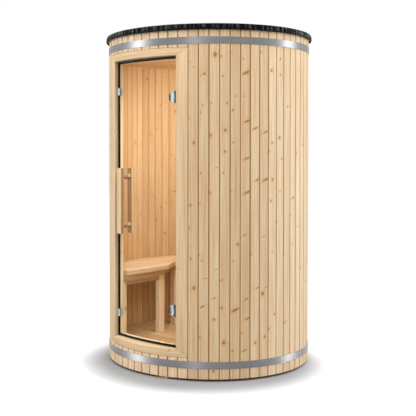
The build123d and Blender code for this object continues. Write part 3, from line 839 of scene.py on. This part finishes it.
def roof_ring(radius):
    """The points of one ring on the flat of the roof."""
    points = []
    for step in range(ring_steps):
        angle = 2 * pi * step / ring_steps
        lift = wave(angle, 1) * (radius / wave_radius) ** 2
        run_in = max(0.0, (radius - crease_start) / crease_length)
        crease = fold(step / ring_steps) * run_in ** 2 * crease_depth
        level = max(sheet_top - roof_sag + lift * wave_up - crease, deck_top + sheet_clearance)
        points.append((radius * cos(angle), radius * sin(angle), level))
    return points


def hem_ring(down, out):
    """The points of one ring of the hem, which the folds draw in."""
    points = []
    for step in range(ring_steps):
        turn = step / ring_steps
        angle = 2 * pi * turn
        crease = fold(turn)
        slack = wave(angle, 3)
        drawn_in = crease * fold_reach * min(1.0, fold_start + down * fold_growth)
        radius = deck_radius + (hem_radius - deck_radius) * out - drawn_in + slack * wave_out
        if down > 0:
            radius = max(radius, deck_radius + sheet_clearance)
        drop = hem_height * down * (1 - fold_rise * crease * down) + slack * wave_down * down
        points.append((radius * cos(angle), radius * sin(angle), sheet_top - drop))
    return points


def membrane():
    """The membrane as one surface from the middle of the roof to the wavy edge of its hem."""
    mesh = bmesh.new()
    rings = [roof_ring(radius) for radius in roof_radii] + [hem_ring(down, out) for down, out, _ in hem_rings]
    strengths = [0.0 for _ in roof_radii] + [strength for _, _, strength in hem_rings]
    centre = mesh.verts.new((0, 0, sheet_top))
    made = [[mesh.verts.new(point) for point in points] for points in rings]
    looks = {centre: (0.0, 0.0, 0.0)}
    for line, strength in zip(made, strengths):
        for step, vertex in enumerate(line):
            looks[vertex] = (fold(step / ring_steps), strength * fold_highlight(2 * pi * step / ring_steps), 0.0)
    for step in range(ring_steps):
        after = (step + 1) % ring_steps
        mesh.faces.new((centre, made[0][step], made[0][after]))
        for inner, outer in zip(made, made[1:]):
            mesh.faces.new((inner[step], outer[step], outer[after], inner[after]))
    look = layers_of(mesh)[2]
    for face in mesh.faces:
        face.smooth = True
        for loop in face.loops:
            loop[look] = looks[loop.vert]
    return finish_piece(mesh, "membrane_sheet", ["roof_membrane"], membrane_black)


sheet = membrane()


def finish_node(node, material):
    """Gives a CAD node that shows a better material."""
    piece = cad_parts[node]
    piece.data.materials.clear()
    piece.data.materials.append(material)


for material, nodes in (
    (band_metal, ("band_lower", "band_upper")),
    (hinge_metal, ("hinge_leaf_upper", "hinge_clamp_upper")),
    (lower_metal, ("hinge_leaf_lower", "hinge_clamp_lower")),
    (catch_metal, ("catch_magnets", "catch_strikes")),
    (glass_clear, ("door_glass",)),
    (seal_black, ("door_seal",)),
):
    for node in nodes:
        finish_node(node, material)

# Floor and background
ground_size = 30.0
ground_drop = 0.0004
ground_grey = (160, 160, 161)
# The floor's shadow: its middle, and from where to where it fades into white
shadow_middle = (0.065, -0.135, 0.0)
shadow_reach = (0.56, 0.90)
ambient = 0.70


def ground_white():
    """White as the camera and reflections see it, but for a shadow in the middle, and grey as it is lit."""
    s = Shader("ground")
    s.fill(s.surface, {"Base Color": linear(*ground_grey), "Roughness": 0.9, "Specular IOR Level": 0.0})
    path = s.add("LightPath", {}).outputs
    seen = s.math("MAXIMUM", path["Is Camera Ray"], path["Is Glossy Ray"])
    from_shadow = s.vector("SUBTRACT", s.add("TexCoord", {}).outputs["Object"], shadow_middle)
    away = s.add("VectorMath", {0: from_shadow}, operation="LENGTH").outputs["Value"]
    inputs = {"Value": away, 1: shadow_reach[0], 2: shadow_reach[1]}
    whiter = s.add("MapRange", inputs, interpolation_type="SMOOTHSTEP").outputs[0]
    s.fill(s.surface, {"Emission Color": (1, 1, 1, 1), "Emission Strength": s.math("MULTIPLY", seen, whiter)})
    return s.material


def studio():
    """A world that is white to the camera, in reflections and through glass, and dimmer as a light."""
    world = bpy.data.worlds.new("studio")
    world.use_nodes = True
    tree = world.node_tree
    path = tree.nodes.new("ShaderNodeLightPath").outputs
    seen = path["Is Camera Ray"]
    for ray in ("Is Glossy Ray", "Is Transmission Ray"):
        either = tree.nodes.new("ShaderNodeMath")
        either.operation = "MAXIMUM"
        tree.links.new(seen, either.inputs[0])
        tree.links.new(path[ray], either.inputs[1])
        seen = either.outputs[0]
    level = tree.nodes.new("ShaderNodeMapRange")
    tree.links.new(seen, level.inputs["Value"])
    level.inputs["To Min"].default_value = ambient
    tree.links.new(level.outputs[0], tree.nodes["Background"].inputs["Strength"])
    tree.nodes["Background"].inputs["Color"].default_value = (1, 1, 1, 1)
    return world


bpy.ops.mesh.primitive_plane_add(size=ground_size, location=(0, 0, -ground_drop))
ground = bpy.context.object
ground.name = "ground"
ground.data.materials.append(ground_white())
bpy.context.scene.world = studio()


def area_light(name, place, target, width, height, power, colour=(1, 1, 1)):
    """A soft lamp aimed at a point."""
    data = bpy.data.lights.new(name, "AREA")
    data.shape = "RECTANGLE"
    data.size = width
    data.size_y = height
    data.energy = power
    data.color = colour
    lamp = bpy.data.objects.new(name, data)
    bpy.context.scene.collection.objects.link(lamp)
    lamp.location = place
    lamp.rotation_euler = (Vector(target) - Vector(place)).to_track_quat("-Z", "Y").to_euler()
    lamp.visible_camera = False
    return lamp


# Soft lamps that don't show in reflections
lamp_target = (0, 0, 1.0)
for name, place, size, power, colour in (
    ("left", (-4.3, -4.0, 3.4), 2.4, 108, (0.98, 0.99, 1.0)),
    ("front", (4.6, -4.6, 4.2), 2.6, 106, (0.98, 0.99, 1.0)),
    ("right", (3.2, 5.1, 3.4), 2.4, 215, (0.95, 0.98, 1.0)),
    ("top", (0.6, -0.8, 5.5), 4.0, 190, (1, 1, 1)),
):
    area_light(name, place, lamp_target, size, size, power, colour).visible_glossy = False

# Tall strips that show as the sheen of the steel bands
strip_distance = 6.0
strip_height = 2.1
strip_middle = 1.1
for name, turn, width, power in (
    ("strip_left", -40, 1.5, 250),
    ("strip_right", 136, 1.4, 205),
    ("strip_front", 26, 0.6, 50),
):
    place = (strip_distance * sin(radians(turn)), -strip_distance * cos(radians(turn)), strip_middle)
    strip = area_light(name, place, (0, 0, strip_middle), width, strip_height, power)
    strip.visible_diffuse = False
    strip.visible_transmission = False

# A weak lamp under the ceiling, which stands for the daylight that comes in
inside_place = (0.20, -0.06, 1.75)
inside_target = (-0.18, 0.36, 0.72)
inside_size = 0.6
inside_power = 11.2
inside_colour = (0.93, 0.95, 0.98)
inside_lamp = area_light(
    "inside", inside_place, inside_target, inside_size, inside_size, inside_power, inside_colour,
)
inside_lamp.visible_glossy = False
inside_lamp.visible_transmission = False

# Camera at the photograph's place
camera_place = (3.392, -3.978, 1.286)
camera_pitch = 90 - 0.98
camera_turn = 44
camera_data = bpy.data.cameras.new("camera")
camera = bpy.data.objects.new("camera", camera_data)
bpy.context.scene.collection.objects.link(camera)
camera.location = camera_place
camera.rotation_euler = (radians(camera_pitch), 0, radians(camera_turn))
camera_data.lens = 71.3
camera_data.sensor_width = 36.0
camera_data.shift_x = 0.1226
camera_data.shift_y = -0.10
bpy.context.scene.camera = camera
bpy.context.scene.view_settings.view_transform = "Standard"
